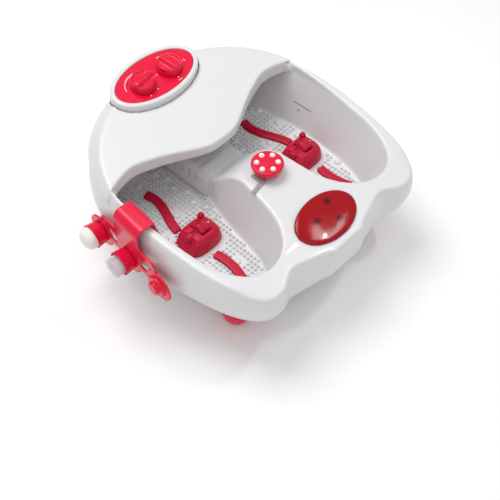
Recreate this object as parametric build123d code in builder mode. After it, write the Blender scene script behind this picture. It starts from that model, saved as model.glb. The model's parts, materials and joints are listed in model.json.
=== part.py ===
"""Foot spa basin with two foot wells, a control hood, foot rollers, an infrared lamp and hung massage heads.

The frame is +Z up, +Y towards the toe end with the controls, and +X to the user's right. The origin lies on the
floor below the middle of the ridge, where the cord hub stands. All lengths are in millimetres.
"""

from build123d import *
from math import atan, cos, radians, sin
import os

# --- Driving dimensions ---------------------------------------------------------------------------------------
WALL = 3.0  # moulded wall
RUN = 0.05  # radial running clearance of every shaft and ball
GAP = 0.5  # gap where the cord meets its plug

TRAY_Z = 22.0  # underside of the machinery tray
EDGE_Z = 58.0  # lower edge of the body
SEAM_Z = 74.0  # top of the base's heel apron
FLOOR_Z = 76.0  # top of the well floors
WIDEST_Z = 120.0  # level at which the body is widest
SHOULDER_Z = 150.0
RIM_Z = 155.0  # rim height above the origin
RIM_SLOPE = atan(0.10)  # the rim climbs towards the toe end
HOOD_SLOPE = atan(0.15)  # the hood climbs faster
HOOD_SEAT_Z = 146.0  # joint between tub and hood
HOOD_EDGE_Y = 58.0  # the hood's side edges stop here
PANEL_Y, PANEL_Z = 152.0, 184.0  # middle of the control panel
PANEL_A, PANEL_B = 63.0, 34.0  # panel half-axes
KNOB_X, KNOB_DY = 23.5, -3.0  # knobs either side of the panel's middle
SHAFT_R = 3.0
LENS_Y, LENS_Z = -150.0, 139.0  # middle of the infrared lens
LENS_A, LENS_B = 48.0, 30.0  # lens half-axes
LENS_SEAT = 1.5  # depth of the lens recess
LENS_SLOPE = radians(15.0)  # the lens tips down towards the heel end
HEAD_Y = -52.0  # ball head on the ridge
HEAD_R = 22.0
BALL_R, BALL_CIRCLE_R, BALL_COUNT = 3.8, 13.5, 6
ROLLER_X, ROLLER_Y, ROLLER_Z = 98.0, -24.0, 96.0  # roller axis in each well
ROLLER_R, ROLLER_LENGTH, AXLE_R = 11.0, 26.0, 2.5
HOLDER_X, HOLDER_Y = -184.5, 8.0  # back of the accessory holder
HOLDER_YAW = radians(5.0)  # it follows the curve of the side
CUP_Z, CUP_PITCH, CUP_R = 96.0, 58.0, 17.0  # row of sockets on the holder
CUP_HEIGHT = 16.0
FOOT_X, FOOT_Y, FOOT_REAR_Y, FOOT_R = 116.0, -106.0, 118.0, 20.0
HUB_R, HUB_FLANGE_R, CORD_R = 46.0, 68.0, 3.1
MOTOR_Z, MOTOR_R = 47.0, 14.0

# Outlines are listed from the toe end to the heel end, right half only.
WIDE_OUTLINE = [
    (0, 200), (64, 189), (116, 160), (154, 114), (174, 60), (181, 0), (178, -60), (170, -112),
    (157, -154), (134, -182), (108, -183), (86, -173), (62, -177), (30, -187), (0, -190),
]
EDGE_OUTLINE = [
    (0, 178), (56, 168), (104, 140), (138, 98), (157, 50), (165, 0), (161, -50), (150, -98),
    (136, -134), (117, -156), (98, -162), (80, -162), (56, -166), (28, -171), (0, -173),
]
TRAY_OUTLINE = [
    (0, 150), (48, 142), (88, 118), (112, 82), (122, 42), (124, 0), (120, -42), (108, -80),
    (90, -108), (76, -124), (62, -132), (50, -136), (36, -139), (18, -142), (0, -143),
]
# Well outlines run from the toe wall down the outer side, round the heel and up the ridge.
WELL_TOP = [
    (150, 122), (160, 70), (163, 0), (160, -60), (149, -122), (124, -152), (94, -156),
    (67, -144), (46, -115), (38, -76), (32, -20), (26, 20), (25, 60), (25, 122),
]
WELL_FLOOR = [
    (122, 118), (134, 66), (138, 0), (134, -50), (124, -100), (106, -130), (90, -133),
    (75, -120), (65, -92), (57, -50), (47, -8), (36, 24), (34, 60), (34, 118),
]
HOOD_FRONT = [(0, 24), (22, 26), (45, 36), (78, 53), (101, 62), (123, 67), (146, 63), (160, 58)]

RIM_NORMAL = (0, -sin(RIM_SLOPE), cos(RIM_SLOPE))
RIM_PLANE = Plane(origin=(0, 0, RIM_Z), x_dir=(1, 0, 0), z_dir=RIM_NORMAL)
HOOD_PLANE = Plane(origin=(0, 0, RIM_Z), x_dir=(1, 0, 0), z_dir=(0, -sin(HOOD_SLOPE), cos(HOOD_SLOPE)))
PANEL_PLANE = Plane(origin=(0, PANEL_Y, PANEL_Z), x_dir=(1, 0, 0), z_dir=RIM_NORMAL)
LENS_PLANE = Plane(
    origin=(0, LENS_Y, LENS_Z), x_dir=(1, 0, 0), z_dir=(0, -sin(LENS_SLOPE), cos(LENS_SLOPE))
)
HEAD_Z = RIM_Z + HEAD_Y * 0.10  # ridge height under the ball head
HEAD_PLANE = Plane.XY.offset(HEAD_Z + 4)
# The holder's own plane stands upright: x runs towards the heel end, y up, z outward from the basin.
HOLDER_PLANE = Plane(
    origin=(HOLDER_X, HOLDER_Y, CUP_Z),
    x_dir=(-sin(HOLDER_YAW), -cos(HOLDER_YAW), 0),
    z_dir=(-cos(HOLDER_YAW), sin(HOLDER_YAW), 0),
)
SIDES = {"left": -1, "right": 1}
UP = (Align.CENTER, Align.CENTER, Align.MIN)
DOWN = (Align.CENTER, Align.CENTER, Align.MAX)

os.makedirs("parts", exist_ok=True)


def save(piece, name):
    """Label a finished piece and write it to its own file."""
    piece.part.label = name
    export_step(piece.part, f"parts/{name}.step")


def shrunk(points, amount):
    """The same outline drawn in by about the given amount."""
    return [(x * (1 - amount / 178), y * (1 - amount / 185)) for x, y in points]


def grown(points, amount):
    """A well outline moved outward from its own middle by about the given amount."""
    mid_x, mid_y, reach_x, reach_y = 94, -16, 60, 138
    return [(x + (x - mid_x) * amount / reach_x, y + (y - mid_y) * amount / reach_y) for x, y in points]


def body_face(points):
    """Face bounded by a smooth curve through the right-half points and its mirror image."""
    with BuildSketch() as face:
        with BuildLine():
            Spline(*points, tangents=[(1, 0), (-1, 0)])
            mirror(about=Plane.YZ)
        make_face()
    return face.sketch


def well_face(points):
    """Face of one foot well, closed by a straight toe wall."""
    with BuildSketch() as face:
        with BuildLine():
            Spline(*points)
            Line(points[-1], points[0])
        make_face()
    return face.sketch


def body_form(inset):
    """The body's outer form, drawn in by a wall thickness or more, from its lower edge to well above the rim."""
    levels = (
        (EDGE_Z, shrunk(EDGE_OUTLINE, inset)),
        (WIDEST_Z, shrunk(WIDE_OUTLINE, inset)),
        (SHOULDER_Z, shrunk(WIDE_OUTLINE, 7 + inset)),
        (188.0, shrunk(WIDE_OUTLINE, 18 + inset)),
    )
    with BuildPart() as form:
        for height, points in levels:
            with BuildSketch(Plane.XY.offset(height)):
                add(body_face(points))
        loft()
    return form.part


def well_form(wall):
    """One foot well's space, grown by a wall thickness all round."""
    with BuildPart() as form:
        with BuildSketch(Plane.XY.offset(FLOOR_Z - wall)):
            add(well_face(grown(WELL_FLOOR, wall)))
        with BuildSketch(Plane.XY.offset(SHOULDER_Z)):
            add(well_face(grown(WELL_TOP, wall)))
        loft()
        with BuildSketch(Plane.XY.offset(SHOULDER_Z)):
            add(well_face(grown(WELL_TOP, wall)))
        extrude(amount=40)
        mirror(about=Plane.YZ)
    return form.part


def above(drop):
    """Everything above the tub's top surface, lowered by a wall thickness for the hollow underneath."""
    big = 500
    with BuildPart() as form:
        with BuildSketch(RIM_PLANE.offset(-drop)):
            Rectangle(big, big)
        extrude(amount=120)
        with BuildSketch(LENS_PLANE.offset(-drop)):
            Rectangle(big, 88, align=(Align.CENTER, Align.MAX))
        extrude(amount=60)
        with BuildSketch(Plane.XY.offset(HOOD_SEAT_Z - drop)):
            with Locations((0, HOOD_EDGE_Y)):
                Rectangle(big, big, align=(Align.CENTER, Align.MIN))
        extrude(amount=120)
        with BuildSketch(Plane.YZ):
            with BuildLine():
                Spline((-48, 150.2 - drop), (-25, 145 - drop), (-4, 128 - drop), (14, 110 - drop), (32, 103 - drop))
                Polyline((32, 103 - drop), (140, 103 - drop), (140, 220), (-48, 220), (-48, 150.2 - drop))
            make_face()
        extrude(amount=40, both=True)
    return form.part


# --- Forms that several pieces share ---------------------------------------------------------------------------
FLOOR_SCREWS = [(x, y) for x in (-100, 100) for y in (-70, 60)]
TOE_SCREWS = [(-45, 133), (45, 133)]
HOOD_SCREWS = [(-126, 132), (-96, 152), (96, 152), (126, 132)]
FEET = [(x, y) for x in (-FOOT_X, FOOT_X) for y in (FOOT_Y, FOOT_REAR_Y)]
NIPPLE_X, NIPPLE_Y = 94.0, 76.0
BOSS_R, SCREW_R, SCREW_HEAD_R = 4.5, 1.9, 4.0
BOSS_Z = 30.0
FOOT_SOCKET_Z = 46.0
CORD_HOLE = (0, 54)
CORD_HOLE_R = 7.0

body_outside = body_form(0)
body_inside = body_form(WALL)
wells = well_form(0)
pans = well_form(WALL)

with BuildPart() as apron_block:
    with Locations((0, -120, SEAM_Z)):
        Box(156, 90, 40, align=(Align.CENTER, Align.MAX, Align.MAX))

with BuildPart() as filled_tub:
    add(body_outside)
    add(above(0), mode=Mode.SUBTRACT)
    add(wells, mode=Mode.SUBTRACT)

with BuildPart() as hollow:
    add(body_inside)
    add(above(WALL), mode=Mode.SUBTRACT)
    add(pans, mode=Mode.SUBTRACT)

# --- Tub: outer wall, rim, ridge and both wells in one moulding -----------------------------------------------
with BuildPart() as tub:
    add(filled_tub.part)
    add(hollow.part, mode=Mode.SUBTRACT)
    add(apron_block.part, mode=Mode.SUBTRACT)
    # seat and window of the infrared lens
    with BuildSketch(LENS_PLANE.offset(-LENS_SEAT)):
        Ellipse(LENS_A + 0.2, LENS_B + 0.2)
    extrude(amount=20, mode=Mode.SUBTRACT)
    with BuildSketch(LENS_PLANE.offset(-LENS_SEAT)):
        Ellipse(LENS_A - 3, LENS_B - 3)
    extrude(amount=-8, mode=Mode.SUBTRACT)
    # screw bosses that reach down to the base
    with BuildSketch(Plane.XY.offset(BOSS_Z)):
        with Locations(*FLOOR_SCREWS):
            Circle(BOSS_R)
    extrude(amount=FLOOR_Z - WALL - BOSS_Z)
    with BuildSketch(Plane.XY.offset(BOSS_Z)):
        with Locations(*TOE_SCREWS):
            Circle(BOSS_R)
    extrude(amount=HOOD_SEAT_Z - WALL - BOSS_Z)
    with BuildSketch(Plane.XY.offset(BOSS_Z)):
        with Locations(*FLOOR_SCREWS, *TOE_SCREWS):
            Circle(SCREW_R + RUN)
    extrude(amount=18, mode=Mode.SUBTRACT)
    # clearance holes for the hood screws, the wiring and the two air nipples
    with BuildSketch(Plane.XY.offset(HOOD_SEAT_Z)):
        with Locations(*HOOD_SCREWS):
            Circle(SCREW_R + 0.3)
        with Locations((20, 153)):
            SlotOverall(24, 10)
    extrude(amount=-WALL - 1, mode=Mode.SUBTRACT)
    with BuildSketch(Plane.XY.offset(FLOOR_Z)):
        with Locations((-NIPPLE_X, NIPPLE_Y), (NIPPLE_X, NIPPLE_Y)):
            Circle(3.1)
    extrude(amount=-WALL - 1, mode=Mode.SUBTRACT)
save(tub, "tub")

# --- Base: machinery tray, sockets for the feet and the apron below the heel -----------------------------------
with BuildPart() as base_shell:
    with BuildSketch(Plane.XY.offset(TRAY_Z)):
        add(body_face(TRAY_OUTLINE))
    with BuildSketch(Plane.XY.offset(EDGE_Z)):
        add(body_face(shrunk(EDGE_OUTLINE, 1)))
    loft()
    with BuildSketch(Plane.XY.offset(TRAY_Z + WALL)):
        add(body_face(shrunk(TRAY_OUTLINE, WALL)))
    with BuildSketch(Plane.XY.offset(EDGE_Z)):
        add(body_face(shrunk(EDGE_OUTLINE, 1 + WALL)))
    loft(mode=Mode.SUBTRACT)
    with BuildSketch(Plane.XY.offset(FOOT_SOCKET_Z)):
        with Locations(*FEET):
            Circle(FOOT_R + WALL)
    extrude(amount=EDGE_Z - 1 - FOOT_SOCKET_Z)
    with BuildSketch(Plane.XY):
        with Locations(*FEET):
            Circle(FOOT_R + RUN)
    extrude(amount=EDGE_Z - WALL - 1, mode=Mode.SUBTRACT)
    with BuildSketch(Plane.XY.offset(TRAY_Z)):
        with Locations(*FLOOR_SCREWS, *TOE_SCREWS):
            Circle(BOSS_R + 2)
    extrude(amount=BOSS_Z - TRAY_Z)
    with BuildSketch(Plane.XY.offset(TRAY_Z)):
        with Locations(*FLOOR_SCREWS, *TOE_SCREWS):
            Circle(SCREW_R + 0.3)
        with Locations(CORD_HOLE):
            Circle(CORD_HOLE_R)
    extrude(amount=BOSS_Z - TRAY_Z, mode=Mode.SUBTRACT)
    with BuildSketch(Plane.XY.offset(TRAY_Z)):
        with Locations(*FLOOR_SCREWS, *TOE_SCREWS):
            Circle(SCREW_HEAD_R + 0.3)
    extrude(amount=3, mode=Mode.SUBTRACT)

with BuildPart() as heel_apron:
    add(body_outside)
    add(body_inside, mode=Mode.SUBTRACT)
    add(apron_block.part, mode=Mode.INTERSECT)
with BuildPart(mode=Mode.PRIVATE) as base_with_apron:
    add(base_shell.part)
    add(heel_apron.part)
save(base_with_apron, "base_shell")

with BuildPart() as feet:
    with BuildSketch(Plane.XZ) as foot_half:
        with BuildLine():
            Polyline((0, EDGE_Z - WALL - 1), (FOOT_R, EDGE_Z - WALL - 1), (FOOT_R, 24))
            ThreePointArc((FOOT_R, 24), (FOOT_R * 0.78, 8), (8, 0))
            Polyline((8, 0), (0, 0), (0, EDGE_Z - WALL - 1))
        make_face()
    foot = revolve(axis=Axis.Z, mode=Mode.PRIVATE)
    with Locations(*FEET):
        add(foot)
save(feet, "feet")

with BuildPart() as base_screws:
    with BuildSketch(Plane.XY.offset(TRAY_Z + 0.5)):
        with Locations(*FLOOR_SCREWS, *TOE_SCREWS):
            Circle(SCREW_HEAD_R)
    extrude(amount=2.5)
    with BuildSketch(Plane.XY.offset(TRAY_Z + 3)):
        with Locations(*FLOOR_SCREWS, *TOE_SCREWS):
            Circle(SCREW_R)
    extrude(amount=22)
    with BuildSketch(Plane.XY.offset(TRAY_Z + 0.5)):
        with Locations(*FLOOR_SCREWS, *TOE_SCREWS):
            Rectangle(4.6, 0.9)
            Rectangle(0.9, 4.6)
    extrude(amount=1.2, mode=Mode.SUBTRACT)
save(base_screws, "base_screws")

# --- Cord, its hub under the base and its plug -------------------------------------------------------------------
with BuildPart() as cord_hub:
    Cylinder(HUB_FLANGE_R, WALL, align=UP)
    Cylinder(HUB_R, TRAY_Z, align=UP)
    fillet(cord_hub.edges().group_by(Axis.Z)[0], 1)
    with BuildSketch(Plane.XY.offset(WALL)):
        Circle(HUB_R - WALL)
    extrude(amount=TRAY_Z, mode=Mode.SUBTRACT)
save(cord_hub, "cord_hub")

CORD_Z = 12.5
PLUG_X, PLUG_Y = 64.0, 96.0
SPIRAL_START_R = HUB_R + CORD_R + 0.6
turns = [radians(115 + 22.5 * k) for k in range(27)]
spiral = [
    ((SPIRAL_START_R + 1.15 * (a - turns[0])) * cos(a), (SPIRAL_START_R + 1.15 * (a - turns[0])) * sin(a), CORD_Z)
    for a in turns
]
with BuildPart() as power_cord:
    with BuildLine() as cord_path:
        Spline(
            (0, 54, 36), (0, 54, 25), (-7, 52, 15), *spiral[1:], (PLUG_X - 1, 60, CORD_Z),
            (PLUG_X, PLUG_Y - GAP, CORD_Z),
        )
    with BuildSketch(Plane(origin=cord_path.line @ 0, z_dir=cord_path.line % 0)):
        Circle(CORD_R)
    sweep()
save(power_cord, "power_cord")

with BuildPart() as cord_grommet:
    with Locations((*CORD_HOLE, TRAY_Z - 1)):
        Cylinder(CORD_HOLE_R + 0.8, 1, align=UP)
        Cylinder(CORD_HOLE_R, WALL + 2, align=UP)
    with Locations((*CORD_HOLE, TRAY_Z + WALL)):
        Cylinder(CORD_HOLE_R + 0.8, 1, align=UP)
    with Locations((*CORD_HOLE, TRAY_Z - 10)):
        Cylinder(CORD_HOLE_R - 1, 30, align=UP, mode=Mode.SUBTRACT)
save(cord_grommet, "cord_grommet")

with BuildPart() as plug:
    with BuildSketch(Plane((PLUG_X, PLUG_Y, CORD_Z), x_dir=(1, 0, 0), z_dir=(0, 1, 0))):
        Circle(6)
    with BuildSketch(Plane((PLUG_X, PLUG_Y + 16, CORD_Z), x_dir=(1, 0, 0), z_dir=(0, 1, 0))):
        SlotOverall(34, 13.4)
    loft()
    with BuildSketch(Plane((PLUG_X, PLUG_Y + 16, CORD_Z), x_dir=(1, 0, 0), z_dir=(0, 1, 0))):
        SlotOverall(34, 13.4)
    extrude(amount=16)
save(plug, "plug")

with BuildPart() as plug_pins:
    with BuildSketch(Plane((PLUG_X, PLUG_Y + 32, CORD_Z), x_dir=(1, 0, 0), z_dir=(0, 1, 0))):
        with Locations((-9, 0), (9, 0)):
            Circle(2)
    extrude(amount=19)
    fillet(plug_pins.edges().group_by(Axis.Y)[-1], 1.5)
save(plug_pins, "plug_pins")

# --- Grooved vent block straddling the low end of the ridge -------------------------------------------------------
with BuildPart() as vent_block:
    with BuildSketch(Plane.XZ.offset(-22)):
        with BuildLine():
            Polyline((-41, 79), (-35, 101), (-28, 108), (28, 108), (35, 101), (41, 79), (-41, 79))
        make_face()
    extrude(amount=-94)
    fillet(vent_block.edges().filter_by(Axis.Y).group_by(Axis.Z)[1:], 3)
    add(filled_tub.part, mode=Mode.SUBTRACT)
    # vent slots run over each shoulder of the block
    for y in (44, 57, 70, 83):
        for side in (-1, 1):
            with Locations((side * 21, y, 108)):
                Box(26, 1.4, 4, mode=Mode.SUBTRACT)
            with Locations((side * 38.5, y, 97)):
                Box(8, 1.4, 16, mode=Mode.SUBTRACT)
save(vent_block, "vent_block")

# --- Hood over the toe end ----------------------------------------------------------------------------------------
HOOD_BOTTOM_Z = HOOD_SEAT_Z + 1


def hood_form(inset):
    """The hood's domed form from its seat to above its crown, drawn in by a wall thickness or more."""
    levels = (
        (140.0, shrunk(WIDE_OUTLINE, inset)),
        (152.0, shrunk(WIDE_OUTLINE, 4 + inset)),
        (166.0, shrunk(WIDE_OUTLINE, 12 + inset)),
        (177.0, shrunk(WIDE_OUTLINE, 26 + inset)),
        (186.0, shrunk(WIDE_OUTLINE, 50 + inset)),
    )
    with BuildPart() as form:
        for height, points in levels:
            with BuildSketch(Plane.XY.offset(height)):
                add(body_face(points))
        loft()
        with BuildSketch(HOOD_PLANE.offset(-inset)):
            Rectangle(600, 600)
        extrude(amount=100, mode=Mode.SUBTRACT)
    return form.part


def ahead_of_hood(shift):
    """Plan face of everything on the heel side of the hood's wavy front edge."""
    edge = [(x, y + shift) for x, y in HOOD_FRONT]
    end_x, end_y = edge[-1]
    with BuildSketch() as face:
        with BuildLine():
            Spline(*edge, tangents=[(1, 0), (1, -0.4)])
            Polyline((end_x, end_y), (300, end_y + 0.3), (300, -300), (0, -300))
            mirror(about=Plane.YZ)
        make_face()
    return face.sketch


hood_outside = hood_form(0)
hood_inside = hood_form(WALL)

with BuildPart() as hood:
    add(hood_outside)
    add(hood_inside, mode=Mode.SUBTRACT)
    with Locations((0, 0, HOOD_BOTTOM_Z)):
        Box(600, 600, 100, align=DOWN, mode=Mode.SUBTRACT)
    with BuildSketch(Plane.XY.offset(100)):
        add(ahead_of_hood(0))
    extrude(amount=200, mode=Mode.SUBTRACT)
    with BuildSketch(PANEL_PLANE.offset(-40)):
        Ellipse(PANEL_A + 7.2, PANEL_B + 7.2)
    extrude(amount=60, mode=Mode.SUBTRACT)

with BuildPart() as hood_lip:
    add(hood_outside)
    with BuildSketch(Plane.XY.offset(143)):
        add(ahead_of_hood(WALL))
        add(ahead_of_hood(0), mode=Mode.SUBTRACT)
        Rectangle(316, 300, mode=Mode.INTERSECT)
    extrude(amount=60, mode=Mode.INTERSECT)

with BuildPart() as hood_bosses:
    add(hood_outside)
    with BuildSketch(Plane.XY.offset(HOOD_BOTTOM_Z)):
        with Locations(*HOOD_SCREWS):
            Circle(BOSS_R)
    extrude(amount=60, mode=Mode.INTERSECT)

with BuildPart() as finished_hood:
    add(hood.part)
    add(hood_lip.part)
    add(hood_bosses.part)
    with BuildSketch(Plane.XY.offset(HOOD_BOTTOM_Z)):
        with Locations(*HOOD_SCREWS):
            Circle(SCREW_R + RUN)
    extrude(amount=9, mode=Mode.SUBTRACT)
save(finished_hood, "hood")

with BuildPart() as hood_seal:
    with BuildSketch(Plane.XY.offset(HOOD_SEAT_Z)):
        add(body_face(shrunk(WIDE_OUTLINE, 6.4)))
        add(body_face(shrunk(WIDE_OUTLINE, 8.4)), mode=Mode.SUBTRACT)
        with Locations((0, HOOD_EDGE_Y + 2)):
            Rectangle(500, 500, align=(Align.CENTER, Align.MAX), mode=Mode.SUBTRACT)
    extrude(amount=HOOD_BOTTOM_Z - HOOD_SEAT_Z)
save(hood_seal, "hood_seal")

with BuildPart() as hood_screws:
    with BuildSketch(Plane.XY.offset(HOOD_SEAT_Z - WALL - 2.5)):
        with Locations(*HOOD_SCREWS):
            Circle(SCREW_HEAD_R)
    extrude(amount=2.5)
    with BuildSketch(Plane.XY.offset(HOOD_SEAT_Z - WALL)):
        with Locations(*HOOD_SCREWS):
            Circle(SCREW_R)
    extrude(amount=12)
save(hood_screws, "hood_screws")

# --- Control panel, its bezel, knobs, switches and board -----------------------------------------------------------
PANEL_T = 2.5
BEZEL_DEPTH = 30.0
SWITCH_R, SWITCH_DEPTH = 12.0, 18.0
KNOB_R, KNOB_HEIGHT = 17.5, 15.0
KNOB_XS = {"temperature": -KNOB_X, "mode": KNOB_X}
PANEL_AXIS = Axis(PANEL_PLANE.origin, PANEL_PLANE.z_dir)

with BuildPart() as panel_bezel:
    with BuildSketch(PANEL_PLANE.offset(1.5)):
        Ellipse(PANEL_A + 7, PANEL_B + 7)
    extrude(amount=-BEZEL_DEPTH)
    fillet(panel_bezel.faces().sort_by(Axis.Z)[-1].edges(), 1)
    with BuildSketch(PANEL_PLANE.offset(1.5)):
        Ellipse(PANEL_A + 0.4, PANEL_B + 0.4)
    extrude(amount=-PANEL_T - 1.5, mode=Mode.SUBTRACT)
    with BuildSketch(PANEL_PLANE.offset(-PANEL_T)):
        Ellipse(PANEL_A - 3, PANEL_B - 3)
    extrude(amount=-1.5, mode=Mode.SUBTRACT)
    with BuildSketch(PANEL_PLANE.offset(-PANEL_T - 1.5)):
        Ellipse(PANEL_A + 4, PANEL_B + 4)
    extrude(amount=-BEZEL_DEPTH, mode=Mode.SUBTRACT)
save(panel_bezel, "panel_bezel")

with BuildPart() as control_panel:
    with BuildSketch(PANEL_PLANE.offset(-PANEL_T)):
        Ellipse(PANEL_A, PANEL_B)
        with Locations((-KNOB_X, KNOB_DY), (KNOB_X, KNOB_DY)):
            Circle(SHAFT_R + 1.5, mode=Mode.SUBTRACT)
    extrude(amount=PANEL_T)
save(control_panel, "control_panel")

for control, x in KNOB_XS.items():
    with BuildPart() as knob:
        with BuildSketch(PANEL_PLANE.offset(0.6)):
            with Locations((x, KNOB_DY)):
                Circle(KNOB_R)
        extrude(amount=3.4)
        with BuildSketch(PANEL_PLANE.offset(4)):
            with Locations((x, KNOB_DY)):
                Circle(KNOB_R - 2)
        extrude(amount=KNOB_HEIGHT - 4, taper=4)
        fillet(knob.faces().sort_by(PANEL_AXIS)[-1].edges(), 1.5)
        with BuildSketch(PANEL_PLANE.offset(KNOB_HEIGHT)):
            with Locations((x, KNOB_DY)):
                if control == "temperature":
                    SlotOverall(25, 4, rotation=45)
                else:
                    with Locations((-8.6, 0), (8.6, 0)):
                        SlotOverall(18, 7, rotation=90)
        extrude(amount=-2.5 if control == "temperature" else -6, mode=Mode.SUBTRACT)
        with BuildSketch(PANEL_PLANE.offset(0.6)):
            with Locations((x, KNOB_DY)):
                Circle(SHAFT_R)
        extrude(amount=7.4, mode=Mode.SUBTRACT)
    save(knob, f"{control}_knob")

    with BuildPart() as shaft:
        with BuildSketch(PANEL_PLANE.offset(8)):
            with Locations((x, KNOB_DY)):
                Circle(SHAFT_R)
        extrude(amount=-8 - SWITCH_DEPTH)
    save(shaft, f"{control}_shaft")

    with BuildPart() as switch:
        with BuildSketch(PANEL_PLANE.offset(-4)):
            with Locations((x, KNOB_DY)):
                Circle(SWITCH_R)
        extrude(amount=-SWITCH_DEPTH)
        with BuildSketch(PANEL_PLANE.offset(-4)):
            with Locations((x, KNOB_DY)):
                Circle(7)
        extrude(amount=4 - PANEL_T)
        with BuildSketch(PANEL_PLANE):
            with Locations((x, KNOB_DY)):
                Circle(SHAFT_R + RUN)
        extrude(amount=-SWITCH_DEPTH - 0.3, mode=Mode.SUBTRACT)
    save(switch, f"{control}_switch")

with BuildPart() as control_board:
    with BuildSketch(PANEL_PLANE.offset(-4 - SWITCH_DEPTH)):
        Rectangle(84, 38)
        with Locations((-38, 15), (38, 15), (-38, -15), (38, -15)):
            Circle(1.6, mode=Mode.SUBTRACT)
    extrude(amount=-1.6)
    with BuildSketch(PANEL_PLANE.offset(-5.6 - SWITCH_DEPTH)):
        with Locations((0, 8)):
            Rectangle(14, 14)
        with Locations((-28, -4), (26, 4)):
            Rectangle(10, 6)
    extrude(amount=-3)
save(control_board, "control_board")

# --- Infrared lamp at the heel end of the ridge --------------------------------------------------------------------
LAMPS = [(16, 14), (11, -13), (-14, 2)]
LAMP_R = 3.5

with BuildPart() as infrared_lens:
    with BuildSketch(LENS_PLANE.offset(0.5 - LENS_SEAT)):
        Ellipse(LENS_A, LENS_B)
    extrude(amount=4)
    fillet(infrared_lens.edges().sort_by(Axis(LENS_PLANE.origin, LENS_PLANE.z_dir))[-1], 1.5)
    with BuildSketch(LENS_PLANE.offset(0.5 - LENS_SEAT)):
        Ellipse(LENS_A - 4, LENS_B - 4)
    extrude(amount=1.5, mode=Mode.SUBTRACT)
save(infrared_lens, "infrared_lens")

with BuildPart() as lens_gasket:
    with BuildSketch(LENS_PLANE.offset(-LENS_SEAT)):
        Ellipse(LENS_A, LENS_B)
        Ellipse(LENS_A - 3, LENS_B - 3, mode=Mode.SUBTRACT)
    extrude(amount=0.5)
save(lens_gasket, "lens_gasket")

with BuildPart() as lamp_reflector:
    with BuildSketch(LENS_PLANE.offset(-LENS_SEAT)):
        Ellipse(LENS_A - 3.4, LENS_B - 3.4)
    extrude(amount=-1.5)
    with BuildSketch(LENS_PLANE.offset(-LENS_SEAT)):
        Ellipse(LENS_A - 6, LENS_B - 6)
    extrude(amount=-21.5)
    with BuildSketch(LENS_PLANE.offset(-LENS_SEAT)):
        Ellipse(LENS_A - 7.5, LENS_B - 7.5)
    extrude(amount=-20, mode=Mode.SUBTRACT)
save(lamp_reflector, "lamp_reflector")

with BuildPart() as led_board:
    with BuildSketch(LENS_PLANE.offset(-WALL - 8)):
        Ellipse(LENS_A - 10, LENS_B - 10)
        with Locations(*LAMPS):
            Circle(LAMP_R, mode=Mode.SUBTRACT)
    extrude(amount=-1.6)
save(led_board, "led_board")

with BuildPart() as infrared_leds:
    with BuildSketch(LENS_PLANE.offset(-WALL - 9.6)):
        with Locations(*LAMPS):
            Circle(LAMP_R)
    extrude(amount=5)
    with BuildSketch(LENS_PLANE.offset(-WALL - 8)):
        with Locations(*LAMPS):
            Circle(LAMP_R + 0.8)
    extrude(amount=1)
    fillet(infrared_leds.edges().group_by(Axis(LENS_PLANE.origin, LENS_PLANE.z_dir))[-1], 2)
save(infrared_leds, "infrared_leds")

# --- Air strips, cradles and rollers, one of each in both wells ------------------------------------------------------
STRIP_W, STRIP_T = 10.0, 3.5
STRIP_TOE = [(94, 82), (94, 50), (103, 26), (108, 6)]
STRIP_HEEL = [(101, -57), (99, -80), (105, -107)]
CRADLE_X, CRADLE_Y = 58.0, 46.0
CHEEK_T = 4.0


def strip_face(points, side):
    """Plan of one curved air strip with rounded ends."""
    with BuildSketch() as face:
        with BuildLine():
            Spline(*[(side * x, y) for x, y in points])
        trace(line_width=STRIP_W)
    return face.sketch


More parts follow.
